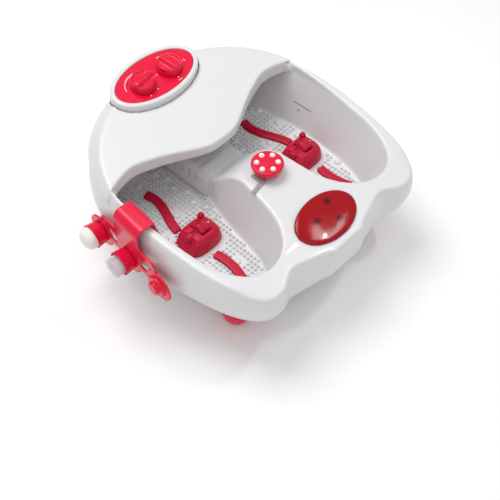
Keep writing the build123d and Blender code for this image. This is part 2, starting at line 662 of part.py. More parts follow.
for name, side in SIDES.items():
    with BuildPart() as strip:
        with BuildSketch(Plane.XY.offset(FLOOR_Z)):
            add(strip_face(STRIP_TOE, side))
            add(strip_face(STRIP_HEEL, side))
        extrude(amount=STRIP_T)
        with BuildSketch(Plane.XY.offset(FLOOR_Z)):
            with Locations((side * NIPPLE_X, NIPPLE_Y)):
                Circle(3)
        extrude(amount=-10)
        with BuildSketch(Plane.XY.offset(FLOOR_Z - 10)):
            with Locations((side * NIPPLE_X, NIPPLE_Y)):
                Circle(1.6)
            with Locations(*[(side * x, y) for x, y in STRIP_TOE[1:] + STRIP_HEEL]):
                Circle(0.8)
        extrude(amount=20, mode=Mode.SUBTRACT)
    save(strip, f"bubble_strip_{name}")

    with BuildPart() as cradle:
        with Locations((side * ROLLER_X, ROLLER_Y, FLOOR_Z)):
            Box(CRADLE_X, CRADLE_Y, 3, align=UP)
        fillet(cradle.edges().filter_by(Axis.Z), 9)
        # cheeks that hold the axle
        for end in (-1, 1):
            with BuildSketch(Plane.YZ.offset(side * ROLLER_X + end * (ROLLER_LENGTH / 2 + 1))):
                with BuildLine():
                    Polyline((ROLLER_Y - 11, FLOOR_Z), (ROLLER_Y - 5.5, ROLLER_Z), (ROLLER_Y - 5.5, ROLLER_Z + 1))
                    ThreePointArc(
                        (ROLLER_Y - 5.5, ROLLER_Z + 1), (ROLLER_Y, ROLLER_Z + 6.5), (ROLLER_Y + 5.5, ROLLER_Z + 1)
                    )
                    Polyline(
                        (ROLLER_Y + 5.5, ROLLER_Z + 1), (ROLLER_Y + 11, FLOOR_Z), (ROLLER_Y - 11, FLOOR_Z)
                    )
                make_face()
            extrude(amount=end * CHEEK_T)
        # curved screen on the toe side
        with BuildSketch(Plane.XY.offset(FLOOR_Z)):
            with BuildLine():
                CenterArc((side * ROLLER_X, ROLLER_Y - 6), 26, 50, 80)
            trace(line_width=3)
        extrude(amount=18)
        # toe-rest wedge with its grid of dimples
        with BuildSketch(Plane.XZ.offset(-ROLLER_Y - 9)):
            with BuildLine():
                Polyline(
                    (side * (ROLLER_X + 27), FLOOR_Z), (side * (ROLLER_X + 20), FLOOR_Z + 14),
                    (side * (ROLLER_X + 18), FLOOR_Z + 14), (side * (ROLLER_X + 18), FLOOR_Z),
                    (side * (ROLLER_X + 27), FLOOR_Z),
                )
            make_face()
        extrude(amount=18)
        with BuildSketch(Plane.YZ.offset(side * ROLLER_X)):
            with Locations((ROLLER_Y, ROLLER_Z)):
                Circle(AXLE_R)
        extrude(amount=24, both=True, mode=Mode.SUBTRACT)
    save(cradle, f"roller_cradle_{name}")

    with BuildPart() as roller:
        with BuildSketch(Plane.YZ.offset(side * ROLLER_X)):
            with Locations((ROLLER_Y, ROLLER_Z)):
                Circle(ROLLER_R - 2)
                with PolarLocations(ROLLER_R - 2, 6):
                    Circle(2)
        extrude(amount=ROLLER_LENGTH / 2, both=True)
        # two grooves split the ribs into three rows of nubs
        with BuildSketch(Plane.YZ.offset(side * ROLLER_X)):
            with Locations((ROLLER_Y, ROLLER_Z)):
                Circle(ROLLER_R + 1)
                Circle(ROLLER_R - 2, mode=Mode.SUBTRACT)
        groove = extrude(amount=1.5, both=True, mode=Mode.PRIVATE)
        with Locations((-5.5, 0, 0), (5.5, 0, 0)):
            add(groove, mode=Mode.SUBTRACT)
        with BuildSketch(Plane.YZ.offset(side * ROLLER_X)):
            with Locations((ROLLER_Y, ROLLER_Z)):
                Circle(AXLE_R + RUN)
        extrude(amount=ROLLER_LENGTH, both=True, mode=Mode.SUBTRACT)
    save(roller, f"foot_roller_{name}")

    with BuildPart() as axle:
        with BuildSketch(Plane.YZ.offset(side * ROLLER_X)):
            with Locations((ROLLER_Y, ROLLER_Z)):
                Circle(AXLE_R)
        extrude(amount=ROLLER_LENGTH / 2 + 1 + CHEEK_T, both=True)
    save(axle, f"roller_axle_{name}")

# --- Ball head on the ridge --------------------------------------------------------------------------------------------
SOCKET_R, PIN_R = 9.0, 5.0
HEAD_T = 12.0
BALL_Z = HEAD_PLANE.origin.Z + HEAD_T - 0.6

with BuildPart() as head_socket:
    with Locations((0, HEAD_Y, HEAD_PLANE.origin.Z)):
        Cylinder(SOCKET_R, 20, align=DOWN)
        Cylinder(PIN_R, 7, align=UP)
    with BuildSketch(RIM_PLANE):
        with Locations((0, HEAD_Y)):
            Rectangle(40, 40)
    extrude(amount=-40, mode=Mode.SUBTRACT)
save(head_socket, "head_socket")

with BuildPart() as head_clip:
    with BuildSketch(RIM_PLANE.offset(0.1)):
        with Locations((0, HEAD_Y)):
            Circle(SOCKET_R + 4)
        with BuildLine():
            Polyline(
                (-8, HEAD_Y - 10), (-40, HEAD_Y - 15), (-40, HEAD_Y - 10), (-22, HEAD_Y - 6), (-22, HEAD_Y + 8),
                (-17, HEAD_Y + 8), (-16, HEAD_Y - 4), (-8, HEAD_Y - 3), (-8, HEAD_Y - 10),
            )
        make_face()
        with Locations((0, HEAD_Y)):
            Circle(SOCKET_R + 0.3, mode=Mode.SUBTRACT)
    extrude(amount=2)
save(head_clip, "head_clip")

with BuildPart() as ball_head:
    with Locations((0, HEAD_Y, HEAD_PLANE.origin.Z)):
        Cylinder(HEAD_R, HEAD_T, align=UP)
    fillet(ball_head.edges().filter_by(GeomType.CIRCLE), 2.5)
    with Locations((0, HEAD_Y, HEAD_PLANE.origin.Z)):
        Cylinder(8.5, HEAD_T + 1.5, align=UP)
        Cylinder(PIN_R + RUN, 7.5, align=UP, mode=Mode.SUBTRACT)
    with Locations((0, HEAD_Y, BALL_Z)):
        with PolarLocations(BALL_CIRCLE_R, BALL_COUNT, start_angle=15):
            Sphere(BALL_R + RUN, mode=Mode.SUBTRACT)
save(ball_head, "ball_head")

for number in range(BALL_COUNT):
    angle = radians(15 + 360 * number / BALL_COUNT)
    with BuildPart() as ball:
        with Locations((BALL_CIRCLE_R * cos(angle), HEAD_Y + BALL_CIRCLE_R * sin(angle), BALL_Z)):
            Sphere(BALL_R)
    save(ball, f"massage_ball_{number + 1}")

# --- Accessory holder hung over the left rim, with its two heads ----------------------------------------------------
HOLDER_T = 3.0
HOOK_W = 48.0
STUD_R = 6.0
FLANGE_R = 23.0
SOCKETS = [(-CUP_PITCH, 0), (0, 0), (CUP_PITCH, 0)]
HOLDER_SIDE = Plane(origin=HOLDER_PLANE.origin, x_dir=HOLDER_PLANE.z_dir, z_dir=-HOLDER_PLANE.x_dir)

with BuildPart() as accessory_holder:
    # side profile of the hook, from the plate over the rim and down the well wall
    with BuildSketch(HOLDER_SIDE):
        with BuildLine():
            Polyline(
                (0, 0), (HOLDER_T, 0), (HOLDER_T, 66.5), (-27.6, 66.5), (-27.6, 54), (-34.6, 34),
                (-31.6, 34), (-24.6, 54), (-24.6, 63.5), (0, 63.5), (0, 0),
            )
        make_face()
    extrude(amount=HOOK_W / 2, both=True)
    # cross arms, the neck between the sockets and a flange behind each one
    with BuildSketch(HOLDER_PLANE):
        Rectangle(2 * CUP_PITCH, 9)
        with Locations((0, 30)):
            SlotOverall(2 * CUP_PITCH - 8, 14)
        with Locations((-CUP_PITCH + 7, 16), (CUP_PITCH - 7, 16)):
            Rectangle(9, 30)
        with Locations(*SOCKETS):
            Circle(FLANGE_R)
    extrude(amount=HOLDER_T)
    with BuildSketch(HOLDER_PLANE.offset(HOLDER_T)):
        with Locations(*SOCKETS):
            Circle(STUD_R)
    extrude(amount=5)
    # the free socket shows its two steps
    with BuildSketch(HOLDER_PLANE.offset(HOLDER_T)):
        with Locations(SOCKETS[2]):
            Circle(15)
    extrude(amount=4)
    with BuildSketch(HOLDER_PLANE.offset(HOLDER_T + 4)):
        with Locations(SOCKETS[2]):
            Circle(9)
    extrude(amount=5)
save(accessory_holder, "accessory_holder")

for head, place in {"cushion": SOCKETS[0], "brush": SOCKETS[1]}.items():
    with BuildPart() as cup:
        with BuildSketch(HOLDER_PLANE.offset(HOLDER_T)):
            with Locations(place):
                Circle(CUP_R)
        extrude(amount=CUP_HEIGHT)
        with BuildSketch(HOLDER_PLANE.offset(HOLDER_T + 7)):
            with Locations(place):
                Circle(CUP_R - 1.5)
        extrude(amount=CUP_HEIGHT, mode=Mode.SUBTRACT)
        with BuildSketch(HOLDER_PLANE.offset(HOLDER_T)):
            with Locations(place):
                Circle(STUD_R + RUN)
        extrude(amount=5.3, mode=Mode.SUBTRACT)
    save(cup, f"{head}_cup")

with BuildPart() as cushion_pad:
    with BuildSketch(HOLDER_PLANE.offset(HOLDER_T + 8)):
        with Locations(SOCKETS[0]):
            Circle(CUP_R - 2)
    extrude(amount=22)
    fillet(cushion_pad.edges().filter_by(GeomType.CIRCLE), 6)
save(cushion_pad, "cushion_pad")

with BuildPart() as brush_bristles:
    with BuildSketch(HOLDER_PLANE.offset(HOLDER_T + 7)):
        Circle(CUP_R - 2)
    extrude(amount=2.5)
    with BuildSketch(HOLDER_PLANE.offset(HOLDER_T + 9.5)):
        for ring, count in ((4, 6), (8.5, 10), (13, 16)):
            with PolarLocations(ring, count):
                Circle(0.9)
    extrude(amount=19)
save(brush_bristles, "brush_bristles")

# --- Heating, air and vibration, sealed below the wells --------------------------------------------------------------
HEATER_X, HEATER_Y = 92.0, -5.0
PUMP_Y, PUMP_TOP_Z = 108.0, 56.0
MOTOR_HEEL_Y, MOTOR_TOE_Y = -30.0, 20.0
MOTOR_SHAFT_R = 2.5
WEIGHT_R = 12.0
ELEMENT_Z = FLOOR_Z - WALL - 1.5 - 3

with BuildPart() as heater_plates:
    with Locations((-HEATER_X, HEATER_Y, FLOOR_Z - WALL), (HEATER_X, HEATER_Y, FLOOR_Z - WALL)):
        Box(60, 104, 1.5, align=DOWN)
save(heater_plates, "heater_plates")

with BuildPart() as heating_element:
    for side in (-1, 1):
        with BuildLine() as loop:
            Polyline(
                (side * HEATER_X - 18, HEATER_Y - 44, ELEMENT_Z), (side * HEATER_X - 18, HEATER_Y + 20, ELEMENT_Z)
            )
            ThreePointArc(
                (side * HEATER_X - 18, HEATER_Y + 20, ELEMENT_Z),
                (side * HEATER_X, HEATER_Y + 38, ELEMENT_Z),
                (side * HEATER_X + 18, HEATER_Y + 20, ELEMENT_Z),
            )
            Polyline(
                (side * HEATER_X + 18, HEATER_Y + 20, ELEMENT_Z), (side * HEATER_X + 18, HEATER_Y - 44, ELEMENT_Z)
            )
        with BuildSketch(Plane(origin=loop.line @ 0, z_dir=loop.line % 0)):
            Circle(3)
        sweep(path=loop.line)
save(heating_element, "heating_element")

with BuildPart() as thermostat:
    with Locations((-HEATER_X, HEATER_Y, FLOOR_Z - WALL - 1.5)):
        Cylinder(8, 6, align=DOWN)
        Cylinder(11, 1.5, align=DOWN)
save(thermostat, "thermostat")

with BuildPart() as air_pump:
    with Locations((0, PUMP_Y, TRAY_Z + WALL)):
        Box(66, 40, PUMP_TOP_Z - TRAY_Z - WALL, align=UP)
    fillet(air_pump.edges().filter_by(Axis.Z), 6)
    with Locations((-24, PUMP_Y, PUMP_TOP_Z), (24, PUMP_Y, PUMP_TOP_Z)):
        Cylinder(2.5, 5, align=UP)
save(air_pump, "air_pump")

with BuildPart() as air_hoses:
    for side in (-1, 1):
        with BuildLine() as hose:
            Spline(
                (side * 24, PUMP_Y, PUMP_TOP_Z + 5), (side * 44, PUMP_Y - 6, PUMP_TOP_Z + 5),
                (side * 72, NIPPLE_Y + 16, 57), (side * NIPPLE_X, NIPPLE_Y, FLOOR_Z - 10),
                tangents=[(0, 0, 1), (0, 0, 1)],
            )
        with BuildSketch(Plane(origin=hose.line @ 0, z_dir=hose.line % 0)):
            Circle(2.4)
        sweep(path=hose.line)
save(air_hoses, "air_hoses")

with BuildPart() as vibration_motor:
    with BuildSketch(Plane.XZ.offset(-MOTOR_TOE_Y)):
        with Locations((0, MOTOR_Z)):
            Circle(MOTOR_R)
    extrude(amount=MOTOR_TOE_Y - MOTOR_HEEL_Y)
    with BuildSketch(Plane.XZ.offset(-MOTOR_HEEL_Y)):
        with Locations((0, MOTOR_Z)):
            Circle(MOTOR_SHAFT_R + RUN)
    extrude(amount=-8, mode=Mode.SUBTRACT)
save(vibration_motor, "vibration_motor")

with BuildPart() as motor_shaft:
    with BuildSketch(Plane.XZ.offset(-MOTOR_HEEL_Y - 7)):
        with Locations((0, MOTOR_Z)):
            Circle(MOTOR_SHAFT_R)
    extrude(amount=22)
save(motor_shaft, "motor_shaft")

with BuildPart() as eccentric_weight:
    with BuildSketch(Plane.XZ.offset(-MOTOR_HEEL_Y + 4)):
        with Locations((0, MOTOR_Z)):
            Circle(WEIGHT_R)
        with Locations((0, MOTOR_Z + 4)):
            Rectangle(40, 40, align=(Align.CENTER, Align.MIN), mode=Mode.SUBTRACT)
        with Locations((0, MOTOR_Z)):
            Circle(MOTOR_SHAFT_R, mode=Mode.SUBTRACT)
    extrude(amount=8)
save(eccentric_weight, "eccentric_weight")

with BuildPart() as motor_bracket:
    with Locations((0, -5, TRAY_Z + WALL)):
        Box(44, 44, 2, align=UP)
        with Locations((0, -14, 0), (0, 14, 0)):
            Box(36, 8, MOTOR_Z - TRAY_Z - WALL, align=UP)
    with BuildSketch(Plane.XZ):
        with Locations((0, MOTOR_Z)):
            Circle(MOTOR_R)
    extrude(amount=60, both=True, mode=Mode.SUBTRACT)
save(motor_bracket, "motor_bracket")

with BuildPart() as wire_harness:
    with BuildLine() as wire_path:
        Spline((6, 62, 40), (14, 80, 74), (20, 120, 80), (20, 147, 90), (20, 153, 112), (20, 153, 156))
    with BuildSketch(Plane(origin=wire_path.line @ 0, z_dir=wire_path.line % 0)):
        Circle(2)
    sweep()
save(wire_harness, "wire_harness")
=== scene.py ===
"""Foot spa basin: mesh shells, soft pieces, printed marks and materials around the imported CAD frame."""

import json
import math
import random

import bmesh
import bpy
import numpy as np
from mathutils import Matrix, Vector
from mathutils.bvhtree import BVHTree


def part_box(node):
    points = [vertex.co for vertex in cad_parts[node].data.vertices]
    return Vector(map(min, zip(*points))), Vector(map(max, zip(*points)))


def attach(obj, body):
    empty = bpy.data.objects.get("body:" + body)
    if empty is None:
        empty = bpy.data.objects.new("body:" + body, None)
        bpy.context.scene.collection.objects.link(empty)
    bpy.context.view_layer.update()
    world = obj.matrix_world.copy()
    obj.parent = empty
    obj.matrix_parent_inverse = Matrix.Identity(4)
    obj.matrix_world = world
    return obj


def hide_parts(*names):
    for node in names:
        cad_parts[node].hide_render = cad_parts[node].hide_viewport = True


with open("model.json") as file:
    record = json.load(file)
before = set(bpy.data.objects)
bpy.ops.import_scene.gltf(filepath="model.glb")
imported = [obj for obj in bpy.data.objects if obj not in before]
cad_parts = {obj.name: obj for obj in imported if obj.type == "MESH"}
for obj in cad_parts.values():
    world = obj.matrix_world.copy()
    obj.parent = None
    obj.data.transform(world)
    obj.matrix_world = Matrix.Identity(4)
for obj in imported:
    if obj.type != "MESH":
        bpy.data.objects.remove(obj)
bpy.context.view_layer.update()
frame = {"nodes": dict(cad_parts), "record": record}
NODES = frame["nodes"]
BEHAVIOUR = frame["record"]["behaviour"]
JOINTS = {joint["name"]: joint for joint in BEHAVIOUR["joints"]}
SLOT_OF = {part["node"]: part["material_slot"] for part in frame["record"]["subparts"]}
BODY_OF = {node: body for body, group in BEHAVIOUR["bodies"].items() for node in group}

MM = 0.001
SEED = 7
random.seed(SEED)
X_AXIS, Z_AXIS = Vector((1, 0, 0)), Vector((0, 0, 1))


# --- Places ---------------------------------------------------------------------------------
def centre_of(node):
    """Middle of a node's box."""
    low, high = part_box(node)
    return (Vector(low) + Vector(high)) / 2


def axis_of(joint):
    """Unit vector along a joint's axis."""
    return Vector(JOINTS[joint]["axis"]).normalized()


def pivot_of(joint):
    """Point that a joint turns about."""
    return Vector(JOINTS[joint]["pos_m"])


OUT = axis_of("cushion_pull")  # the way the holder's heads pull off

LENS_TILT = math.radians(15)  # the lens tips down towards the heel end
LENS_NORMAL = Vector((0, -math.sin(LENS_TILT), math.cos(LENS_TILT)))
LENS_UP = Vector((0, math.cos(LENS_TILT), math.sin(LENS_TILT)))
LENS_SIZE = Vector(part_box("infrared_lens")[1]) - Vector(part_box("infrared_lens")[0])
LENS_A, LENS_B = LENS_SIZE.x / 2, 30 * MM  # half its width, and half its length up the slope
LENS_SINK = 2 * MM  # from the CAD lens's middle down to its seat
LENS_SEAT = centre_of("infrared_lens") - LENS_NORMAL * LENS_SINK
LAMP_SPOTS = [(16, 14), (11, -13), (-14, 2)]  # lamps behind the lens, across and up it from its middle
LAMP_LEVEL = 4.6 * MM  # where they darken it, over the seat


def lens_point(x, y):
    """Point on the lens over a place given in millimetres across and up it."""
    return LENS_SEAT + (X_AXIS * x + LENS_UP * y) * MM + LENS_NORMAL * LAMP_LEVEL


# --- Materials ------------------------------------------------------------------------------
CLOUD_SCALE = 35  # slow variation over a moulding, in noise cells a metre
RIB_SCALE = 120


def new_material(name):
    """An empty node material, its tree and its Principled shader."""
    material = bpy.data.materials.new(name)
    material.use_nodes = True
    tree = material.node_tree
    return material, tree, tree.nodes["Principled BSDF"]


def set_inputs(node, values):
    """Give a node's named inputs plain values."""
    for name, value in values.items():
        node.inputs[name].default_value = value


def add_noise(tree, scale, detail=3.0, stretch=None):
    """Factor of a noise in object space, so that its grain has a real size."""
    noise = tree.nodes.new("ShaderNodeTexNoise")
    set_inputs(noise, {"Scale": scale, "Detail": detail})
    place = tree.nodes.new("ShaderNodeTexCoord").outputs["Object"]
    if stretch:
        mapping = tree.nodes.new("ShaderNodeMapping")
        mapping.inputs["Scale"].default_value = stretch
        tree.links.new(place, mapping.inputs["Vector"])
        place = mapping.outputs["Vector"]
    tree.links.new(place, noise.inputs["Vector"])
    return noise.outputs["Fac"]


def ramp(tree, source, low, high):
    """The source's middle range mapped to low..high."""
    node = tree.nodes.new("ShaderNodeMapRange")
    set_inputs(node, {"From Min": 0.3, "From Max": 0.7, "To Min": low, "To Max": high})
    tree.links.new(source, node.inputs["Value"])
    return node.outputs["Result"]


def mixed(tree, factor, low, high):
    """Colour that runs from low to high with the factor."""
    mix = tree.nodes.new("ShaderNodeMix")
    mix.data_type = "RGBA"
    set_inputs(mix, {"A": (*low, 1), "B": (*high, 1)})
    tree.links.new(factor, mix.inputs["Factor"])
    return mix.outputs["Result"]


def tint(tree, shader, noise, colour, spread):
    """Base colour that wanders a little round the named one."""
    low = [c * (1 - spread) for c in colour]
    high = [min(1, c * (1 + spread)) for c in colour]
    tree.links.new(mixed(tree, noise, low, high), shader.inputs["Base Color"])


def bumped(tree, shader, height, distance, strength=1.0, edge=0.0):
    """Bump of a real height in metres, over edges rounded by the given radius."""
    bump = tree.nodes.new("ShaderNodeBump")
    set_inputs(bump, {"Distance": distance, "Strength": strength})
    tree.links.new(height, bump.inputs["Height"])
    if edge:
        bevel = tree.nodes.new("ShaderNodeBevel")
        bevel.samples = 4
        bevel.inputs["Radius"].default_value = edge
        tree.links.new(bevel.outputs["Normal"], bump.inputs["Normal"])
    tree.links.new(bump.outputs["Normal"], shader.inputs["Normal"])


def moulded(
    name, colour, rough=(0.25, 0.4), grain=0.02 * MM, scale=900,
    coat=0.0, edge=0.5 * MM, spread=0.02, gloss=0.5,
):
    """Moulded plastic or rubber: slightly tinted, unevenly polished and finely grained."""
    material, tree, shader = new_material(name)
    clouds = add_noise(tree, CLOUD_SCALE)
    fine = add_noise(tree, scale, 5)
    tint(tree, shader, clouds, colour, spread)
    tree.links.new(ramp(tree, clouds, *rough), shader.inputs["Roughness"])
    set_inputs(shader, {"Coat Weight": coat, "Coat Roughness": 0.08, "Specular IOR Level": gloss})
    bumped(tree, shader, fine, grain, edge=edge)
    return material


def brushed(name, colour):
    """Drawn or rolled metal with fine streaks."""
    material, tree, shader = new_material(name)
    streaks = add_noise(tree, 700, 2, stretch=(1, 0.05, 1))
    tint(tree, shader, streaks, colour, 0.08)
    tree.links.new(ramp(tree, streaks, 0.25, 0.45), shader.inputs["Roughness"])
    shader.inputs["Metallic"].default_value = 1
    bumped(tree, shader, streaks, 0.02 * MM, edge=0.3 * MM)
    return material


def ribbed_lens(name):
    """Deep red lens with a fine crossed rib pattern, its grooves painted darker and its crests lighter as
    painted shade, and darker where a lamp stands behind it.
    """
    material, tree, shader = new_material(name)
    place = tree.nodes.new("ShaderNodeTexCoord").outputs["Object"]
    ribs = tree.nodes.new("ShaderNodeMath")
    ribs.operation = "MAXIMUM"
    for slot, axis in enumerate(("X", "Y")):
        wave = tree.nodes.new("ShaderNodeTexWave")
        wave.bands_direction = axis
        wave.inputs["Scale"].default_value = RIB_SCALE
        tree.links.new(place, wave.inputs["Vector"])
        tree.links.new(wave.outputs["Fac"], ribs.inputs[slot])
    # painted shade: the rib colour runs from dark in the grooves to lighter on the crests, over the lens's
    # own deep red
    shade = mixed(tree, ribs.outputs[0], (0.20, 0.001, 0.004), (0.40, 0.002, 0.007))
    for x, y in LAMP_SPOTS:
        distance = tree.nodes.new("ShaderNodeVectorMath")
        distance.operation = "DISTANCE"
        distance.inputs[1].default_value = lens_point(x, y)
        tree.links.new(place, distance.inputs[0])
        fade = tree.nodes.new("ShaderNodeMapRange")
        fade.interpolation_type = "SMOOTHSTEP"
        set_inputs(fade, {"From Min": 2.2 * MM, "From Max": 6.5 * MM, "To Min": 0.3})
        tree.links.new(distance.outputs["Value"], fade.inputs["Value"])
        darker = tree.nodes.new("ShaderNodeVectorMath")
        darker.operation = "SCALE"
        tree.links.new(shade, darker.inputs[0])
        tree.links.new(fade.outputs["Result"], darker.inputs["Scale"])
        shade = darker.outputs["Vector"]
    tree.links.new(shade, shader.inputs["Base Color"])
    set_inputs(shader, {
        "Roughness": 0.1, "Specular IOR Level": 0.25, "Coat Weight": 0.15, "Coat Roughness": 0.03,
    })
    bumped(tree, shader, ribs.outputs[0], 0.1 * MM, 0.5)
    return material


def felt(name, colour):
    """Dense short pile of the soft pad."""
    material, tree, shader = new_material(name)
    pile = add_noise(tree, 1400, 6)
    tint(tree, shader, pile, colour, 0.05)
    tree.links.new(ramp(tree, pile, 0.75, 0.95), shader.inputs["Roughness"])
    shader.inputs["Sheen Weight"].default_value = 0.4
    bumped(tree, shader, pile, 0.25 * MM)
    return material


MOULDINGS = {
    "white_shell": dict(
        colour=(0.71, 0.71, 0.72), rough=(0.33, 0.37), grain=0.004 * MM, coat=0.1, spread=0.004, edge=0,
    ),
    "crimson_gloss": dict(
        colour=(0.74, 0.006, 0.046), rough=(0.2, 0.28), grain=0.008 * MM, coat=0.12, gloss=0.3, edge=0,
    ),
    "crimson_satin": dict(
        colour=(0.50, 0.003, 0.034), rough=(0.32, 0.44), grain=0.03 * MM, gloss=0.3, edge=0,
    ),
    "grey_clip": dict(colour=(0.32, 0.31, 0.32), rough=(0.3, 0.45)),
    "pearl_ball": dict(colour=(0.88, 0.87, 0.85), rough=(0.08, 0.16), coat=0.6),
    "black_rubber": dict(colour=(0.025, 0.025, 0.027), rough=(0.5, 0.7), grain=0.06 * MM, scale=600),
    "clear_tube": dict(colour=(0.62, 0.64, 0.63), rough=(0.2, 0.35)),
    "board": dict(colour=(0.02, 0.16, 0.06), rough=(0.3, 0.45), grain=0.06 * MM, scale=400),
    "lamp_glass": dict(colour=(0.05, 0.008, 0.01), rough=(0.05, 0.1), coat=1.0),
    "bristle": dict(colour=(0.86, 0.80, 0.83), rough=(0.25, 0.4)),
    "pump_case": dict(colour=(0.05, 0.05, 0.055), rough=(0.4, 0.55), grain=0.08 * MM, scale=500),
}
METALS = {
    "steel": (0.58, 0.58, 0.60), "aluminium_sheet": (0.80, 0.81, 0.82), "brass_pin": (0.78, 0.60, 0.28),
}
MATERIALS = {name: moulded(name, **look) for name, look in MOULDINGS.items()}
MATERIALS |= {name: brushed(name, colour) for name, colour in METALS.items()}
MATERIALS["red_lens"] = ribbed_lens("red_lens")
MATERIALS["terry_pad"] = felt("terry_pad", (0.84, 0.83, 0.79))
WHITE_INK = moulded("white_ink", (0.85, 0.82, 0.82), (0.4, 0.55), edge=0)
for node, cad in NODES.items():
    cad.data.materials.clear()
    cad.data.materials.append(MATERIALS[SLOT_OF[node]])


# --- Mesh helpers ---------------------------------------------------------------------------
def piece(name, mesh, body, slot, *replaced, material=None):
    """Put a mesh in the scene as a piece that rides on a body and may stand for CAD nodes."""
    obj = bpy.data.objects.new(name, mesh)
    bpy.context.scene.collection.objects.link(obj)
    mesh.materials.clear()
    mesh.materials.append(material or MATERIALS[slot])
    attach(obj, body)
    if replaced:
        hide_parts(*replaced)
    return obj


def set_smooth(mesh, smooth=True):
    """Shade every face smooth or flat."""
    mesh.polygons.foreach_set("use_smooth", [smooth] * len(mesh.polygons))
    return mesh


def baked(obj):
    """Apply every modifier and shade the result smooth."""
    graph = bpy.context.evaluated_depsgraph_get()
    mesh = bpy.data.meshes.new_from_object(obj.evaluated_get(graph))
    obj.modifiers.clear()
    obj.data = set_smooth(mesh)
    return obj


def new_mesh(name, store, smooth=True):
    """Mesh from a store, which is a list of points and a list of faces."""
    mesh = bpy.data.meshes.new(name)
    mesh.from_pydata([tuple(v) for v in store[0]], [], store[1])
    return set_smooth(mesh, smooth)


def add_solid(store, rings, loop=False):
    """Add a solid through rings of equal length to a store; capped, or closed end to end as a loop."""
    points, faces = store
    start, count, total = len(points), len(rings[0]), len(rings) * len(rings[0])
    points.extend(point for ring in rings for point in ring)
    for r in range(len(rings) if loop else len(rings) - 1):
        for k in range(count):
            a, b = r * count + k, r * count + (k + 1) % count
            faces.append(tuple(start + v % total for v in (a, b, b + count, a + count)))
    if not loop:
        faces.append(tuple(start + k for k in reversed(range(count))))
        faces.append(tuple(start + total - count + k for k in range(count)))


def from_rings(name, rings, loop=False):
    """Smooth mesh of one solid through rings."""
    store = ([], [])
    add_solid(store, rings, loop)
    return new_mesh(name, store)


def angles(count):
    """Angles evenly spread round a circle."""
    return [2 * math.pi * k / count for k in range(count)]


def polar(radius, angle, height=0.0):
    """Point at a radius, an angle and a height round Z."""
    return Vector((radius * math.cos(angle), radius * math.sin(angle), height))


def axis_frame(origin, axis):
    """Matrix whose Z runs along the axis from the origin."""
    turn = Vector(axis).normalized().to_track_quat("Z", "Y").to_matrix().to_4x4()
    return Matrix.Translation(origin) @ turn


def lathe(name, profile, origin, axis, segments=64):
    """Surface of revolution from (radius, height) pairs in millimetres."""
    place = axis_frame(origin, axis)
    return from_rings(name, [
        [place @ (polar(radius, a, height) * MM) for a in angles(segments)] for radius, height in profile
    ])


def arc(centre, radius, start, end, steps=8):
    """Points on a profile arc, angles in degrees."""
    turns = [math.radians(start + (end - start) * k / steps) for k in range(steps + 1)]
    return [(centre[0] + radius * math.cos(a), centre[1] + radius * math.sin(a)) for a in turns]


def tree_of(*names):
    """Ray tree over CAD nodes."""
    store = ([], [])
    for name in names:
        start, data = len(store[0]), NODES[name].data
        store[0].extend(v.co.copy() for v in data.vertices)
        store[1].extend(tuple(start + i for i in p.vertices) for p in data.polygons)
    return BVHTree.FromPolygons(*store)


# --- White mouldings ------------------------------------------------------------------------
# The slit where the hood's edge leaves the rim is closed by a web in each side wall and by a
# small filler in each corner. All sizes here are in millimetres.
WEB_Y, WEB_Z = np.arange(92, 150, 1.5), np.arange(126, 166, 1.5)
WEB_FACES = (0.5, 3.4)  # depths of the web's two faces under the wall
WEB_PASSES, WEB_STEP = 60, 0.4  # filling of dips deeper than the step
OUTSIDE = 300  # X of a point clear of the wall
CORNER_AT, CORNER_R, CORNER_SHAPE = (162, 60, 150), 8, (0.7, 1.2, 1, 1)


def side_web(side):
    """Slab just inside the outer wall that closes the slit where the hood's edge leaves the rim."""
    outer = tree_of("tub", "hood")
    filled = np.zeros((len(WEB_Y), len(WEB_Z)))
    for i, y in enumerate(WEB_Y):
        for j, z in enumerate(WEB_Z):
            hit = outer.ray_cast(Vector((side * OUTSIDE, y, z)) * MM, Vector((-side, 0, 0)))[0]
            if hit is not None:
                filled[i, j] = abs(hit.x) / MM
    for _ in range(WEB_PASSES):
        ring = np.pad(filled, 1, mode="edge")
        mean = (ring[:-2, 1:-1] + ring[2:, 1:-1] + ring[1:-1, :-2] + ring[1:-1, 2:]) / 4
        filled = np.where(filled < mean - WEB_STEP, mean, filled)
    points, faces = [], []
    for inset in WEB_FACES:
        for i, y in enumerate(WEB_Y):
            for j, z in enumerate(WEB_Z):
                points.append(Vector((side * (filled[i, j] - inset), y, z)) * MM)
    columns, rows = filled.shape
    count = columns * rows
    for i in range(columns - 1):
        for j in range(rows - 1):
            a = i * rows + j
            quad = (a, a + rows, a + rows + 1, a + 1)
            faces += [quad, tuple(count + v for v in reversed(quad))]
    rim = list(range(rows))
    rim += [i * rows + rows - 1 for i in range(1, columns)]
    rim += [(columns - 1) * rows + j for j in range(rows - 2, -1, -1)]
    rim += [i * rows for i in range(columns - 2, 0, -1)]
    for a, b in zip(rim, rim[1:] + rim[:1]):
        faces.append((a, b, count + b, count + a))
    mesh = new_mesh("side_web", (points, faces))
    work = bmesh.new()
    work.from_mesh(mesh)
    bmesh.ops.recalc_face_normals(work, faces=work.faces)
    work.to_mesh(mesh)
    work.free()
    return mesh


